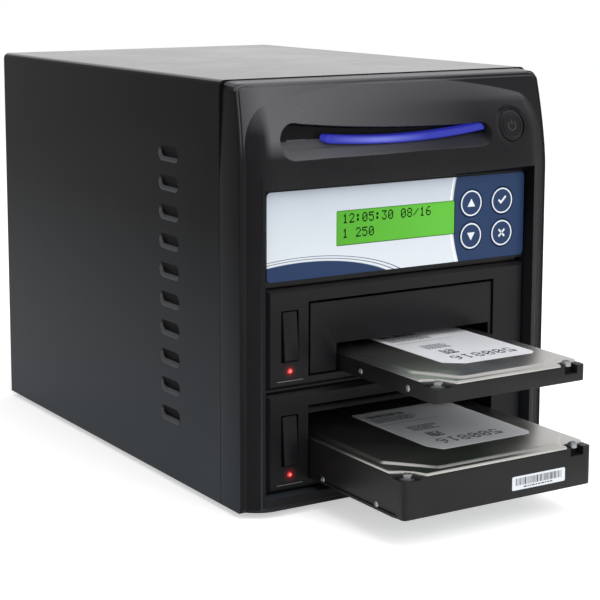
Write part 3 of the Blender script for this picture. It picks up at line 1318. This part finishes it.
def power_supply():
    low = (SUPPLY_LEFT, SUPPLY_BACK - SUPPLY_DEPTH, SUPPLY_BOTTOM)
    right = SUPPLY_LEFT + SUPPLY_WIDTH
    top = SUPPLY_BOTTOM + SUPPLY_HEIGHT
    case = box("power_supply", low, (right, SUPPLY_BACK, top), BARE_STEEL)
    middle = SUPPLY_BOTTOM + SUPPLY_HEIGHT / 2
    width = INLET_WIDTH / 2 + GAP
    height = INLET_HEIGHT / 2 + GAP
    hole_low = (INLET_X - width, SUPPLY_BACK - INLET_DEPTH - GAP, middle - height)
    hole_high = (INLET_X + width, SUPPLY_BACK + OVERRUN, middle + height)
    cut(case, box("inlet_hole", hole_low, hole_high))
    width = ROCKER_WIDTH / 2 + GAP
    height = ROCKER_HALF_HEIGHT + ROCKER_POCKET_MARGIN
    pocket_low = (ROCKER_X - width, SUPPLY_BACK - ROCKER_POCKET_DEPTH, middle - height)
    pocket_high = (ROCKER_X + width, SUPPLY_BACK + OVERRUN, middle + height)
    cut(case, box("rocker_pocket", pocket_low, pocket_high))
    reach = ROCKER_WIDTH / 2 + ROCKER_PIN_LENGTH + GAP
    start = (ROCKER_X - reach, SUPPLY_BACK - ROCKER_PIVOT_DEPTH, middle)
    cut(case, rod("rocker_pin_hole", start, "x", 2 * reach, ROCKER_PIN_HOLE, sides=12))

    width = INLET_WIDTH / 2
    height = INLET_HEIGHT / 2
    flange_front = SUPPLY_BACK + GAP
    flange_back = flange_front + INLET_FLANGE
    margin = INLET_FLANGE_MARGIN
    inlet_front = SUPPLY_BACK - INLET_DEPTH
    flange_low = (INLET_X - width - margin, flange_front, middle - height - margin)
    flange_high = (INLET_X + width + margin, flange_back, middle + height + margin)
    inlet = box("power_inlet", flange_low, flange_high, MOULDED)
    body_low = (INLET_X - width, inlet_front, middle - height)
    join(inlet, box("inlet_body", body_low, (INLET_X + width, flange_front + GAP, middle + height)))
    width -= INLET_WALL
    height -= INLET_WALL
    cavity_low = (INLET_X - width, inlet_front + INLET_FLOOR, middle - height)
    cavity_high = (INLET_X + width, flange_back + OVERRUN, middle + height)
    cut(inlet, box("inlet_cavity", cavity_low, cavity_high))
    blade_back = inlet_front + INLET_FLOOR + BLADE_LENGTH
    for x, rise in ((-BLADE_PITCH, -BLADE_RISE), (0, 0), (BLADE_PITCH, -BLADE_RISE)):
        z = middle + BLADE_RISE / 2 + rise
        blade_low = (INLET_X + x - BLADE_WIDTH / 2, inlet_front + GAP, z - BLADE_HEIGHT / 2)
        blade_high = (INLET_X + x + BLADE_WIDTH / 2, blade_back, z + BLADE_HEIGHT / 2)
        join(inlet, box("inlet_blade", blade_low, blade_high))


def mains_switch():
    middle = SUPPLY_BOTTOM + SUPPLY_HEIGHT / 2
    pivot_y = SUPPLY_BACK - ROCKER_PIVOT_DEPTH
    half = ROCKER_HALF_HEIGHT
    inner = pivot_y - ROCKER_BACK
    outer = pivot_y + ROCKER_PROUD
    outline = [
        (inner, middle - ROCKER_BACK),
        (outer - ROCKER_PIVOT_DEPTH, middle - half),
        (outer, middle - half),
        (outer - ROCKER_DISH, middle),
        (outer, middle + half),
        (outer - ROCKER_PIVOT_DEPTH, middle + half),
        (inner, middle + ROCKER_BACK),
    ]
    left = ROCKER_X - ROCKER_WIDTH / 2
    right = ROCKER_X + ROCKER_WIDTH / 2
    hinge = (ROCKER_X, pivot_y, middle)
    rocker = prism("mains_switch", [outline], "x", left, right, MOULDED, pivot=hinge)
    start = (left - ROCKER_PIN_LENGTH, pivot_y, middle)
    length = ROCKER_WIDTH + 2 * ROCKER_PIN_LENGTH
    pin = rod("rocker_pin", start, "x", length, ROCKER_PIN_RADIUS, sides=12)
    join(rocker, pin)
    turn_at_rest(rocker, [pin], -math.radians(ROCKER_REST_DEGREES), hinge)


def fan():
    front = FAN_BACK - FAN_DEPTH
    half = FAN_SIZE / 2
    body = box("fan_frame", (-half, front, FAN_Z - half), (half, FAN_BACK, FAN_Z + half), MOULDED)
    bore_start = (0, front - OVERRUN, FAN_Z)
    cut(body, rod("fan_bore", bore_start, "y", FAN_DEPTH + 2 * OVERRUN, FAN_BORE, sides=32))
    strut = FAN_STRUT / 2
    reach = FAN_BORE + OVERRUN / 10
    plate_back = front + FAN_PLATE
    across_low = (-reach, front + GAP, FAN_Z - strut)
    upright_low = (-strut, front + GAP, FAN_Z - reach)
    join(body, box("fan_strut", across_low, (reach, plate_back, FAN_Z + strut)))
    join(body, box("fan_strut", upright_low, (strut, plate_back, FAN_Z + reach)))
    plate_start = (0, front + GAP, FAN_Z)
    join(body, rod("fan_motor_plate", plate_start, "y", FAN_PLATE, FAN_HUB_RADIUS, sides=20))
    shaft_length = FAN_DEPTH - 2 * FAN_PLATE - FAN_ROTOR_MARGIN
    join(body, rod("fan_shaft", plate_start, "y", shaft_length, FAN_SHAFT_RADIUS, sides=12))

    hub_front = front + FAN_PLATE + 2 * GAP
    hub_length = FAN_DEPTH - FAN_PLATE - FAN_ROTOR_MARGIN - 2 * GAP
    centre = (0, hub_front, FAN_Z)
    hub = rod("fan_rotor", centre, "y", hub_length, FAN_HUB_RADIUS, MOULDED, sides=20)
    blade_root = FAN_HUB_RADIUS - FAN_PLATE
    span = FAN_BLADE_REACH - blade_root
    for i in range(FAN_BLADE_COUNT):
        shape = bmesh.new()
        bmesh.ops.create_cube(shape, size=1)
        size = (span, FAN_BLADE_THICKNESS, FAN_BLADE_CHORD)
        bmesh.ops.scale(shape, vec=size, verts=shape.verts)
        pitch = Matrix.Rotation(math.radians(90 - FAN_BLADE_DEGREES), 4, "X")
        out = Matrix.Translation((blade_root + span / 2, hub_length / 2, 0))
        turn = Matrix.Rotation(2 * math.pi * i / FAN_BLADE_COUNT, 4, "Y")
        bmesh.ops.transform(shape, matrix=turn @ out @ pitch, verts=shape.verts)
        join(hub, add("fan_blade", mesh_from("fan_blade", shape), None, centre))
    bore = (0, hub_front - OVERRUN, FAN_Z)
    bore_length = OVERRUN + hub_length - FAN_PLATE
    cut(hub, rod("rotor_bore", bore, "y", bore_length, FAN_SHAFT_RADIUS + GAP, sides=12))


def fan_guard():
    """Four wire rings on two crossed wires, with an eye at each end for a screw."""
    corner = GUARD_SCREW_PITCH / 2
    spoke_y = PANEL_BACK + GAP + GUARD_WIRE_RADIUS
    ring_y = spoke_y + GUARD_WIRE_RADIUS * GUARD_LIFT_SHARE
    pieces = []
    for way in (1, -1):
        ends = [(-corner, spoke_y, FAN_Z - way * corner), (corner, spoke_y, FAN_Z + way * corner)]
        pieces.append(as_mesh(tube("guard_spoke", ends, GUARD_WIRE_RADIUS, None, 1)))
        for x, _, z in ends:
            start = (x, spoke_y - GUARD_WIRE_RADIUS / 2, z)
            pieces.append(rod("guard_eye", start, "y", GUARD_WIRE_RADIUS, GUARD_EYE_RADIUS, sides=12))
    for i in range(1, GUARD_RINGS + 1):
        radius = i * GUARD_RING_PITCH
        ring = [(x, ring_y, z) for x, z in arc(0, FAN_Z, radius, 7, 352, 23)]
        pieces.append(as_mesh(tube("guard_ring", ring, GUARD_WIRE_RADIUS, None, 1, closed=True)))
    guard = pieces[0]
    guard.name = "fan_guard"
    guard.data.materials.append(BARE_STEEL)
    join(guard, *pieces[1:])


cover()
base_tray()
feet()
cover_screws()
rear_panel()
front_frame()
front_bezel()
light()
power_button()
display_unit()
for rack_number in (1, 2):
    rack_frame(rack_number)
    flap(rack_number)
    lever(rack_number)
    cage(rack_number)
    drive(rack_number)
bay_plates()
shelf_and_board()
cables()
power_supply()
mains_switch()
fan()
fan_guard()
